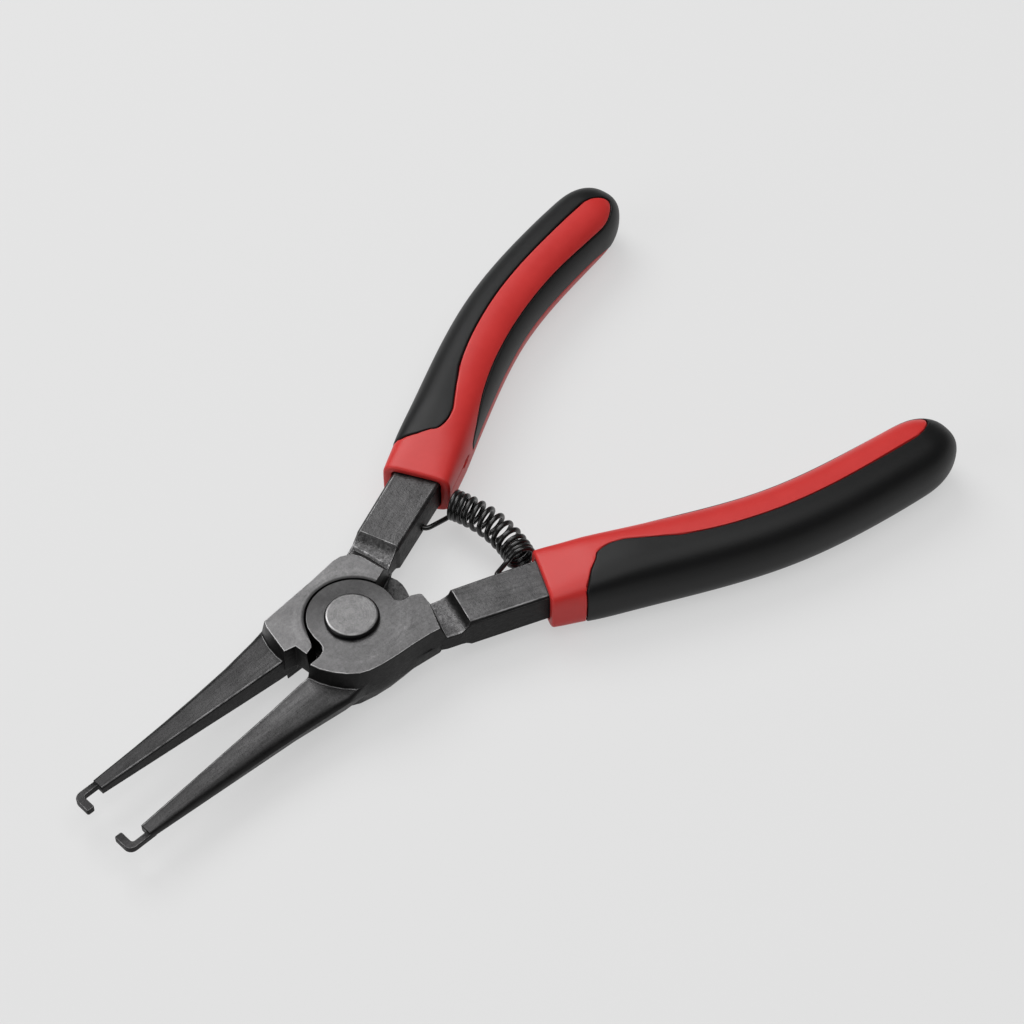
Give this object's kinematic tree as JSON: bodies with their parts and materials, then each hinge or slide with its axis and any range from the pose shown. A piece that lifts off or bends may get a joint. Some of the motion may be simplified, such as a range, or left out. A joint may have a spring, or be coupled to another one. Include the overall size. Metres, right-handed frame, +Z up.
{
  "type": "exhaust clamp pliers",
  "caption": "Spreading pliers with long tapered jaws and inward hooked tips, a riveted lap joint, a curved coil return spring and red and black moulded grips.",
  "frame": {"origin": "Middle of the bounding box on the plane that the grips lie on. The pivot axis stands at x = -0.03651, y = 0.", "axes": "+X runs from the hooked tips towards the handles, +Y towards the lever whose recess faces up, +Z up along the pivot axis."},
  "size_m": [0.23, 0.1366, 0.0189],
  "materials": {
    "blackened_steel": "forged and blackened, joint faces ground flat",
    "bare_steel": "headed and ground, lightly blackened",
    "spring_wire": "black oiled spring wire",
    "red_plastic": "satin moulded hard plastic",
    "black_rubber": "fine matt moulded soft grip"
  },
  "bodies": {
    "recessed_half": {"recessed_lever": "blackened_steel", "recessed_grip_core": "red_plastic", "recessed_grip_cover": "black_rubber", "pivot_rivet": "bare_steel", "return_spring": "spring_wire"},
    "disc_half": {"disc_lever": "blackened_steel", "disc_grip_core": "red_plastic", "disc_grip_cover": "black_rubber"}
  },
  "joints": [
    {"name": "pivot", "type": "hinge", "parent": "recessed_half", "child": "disc_half", "pos_m": [-0.03651, 0, 0.00945], "axis": [0, 0, 1], "range_deg": [-5, 24], "stiffness_Nm_per_rad": 1.5, "deforming": ["return_spring"]}
  ]
}
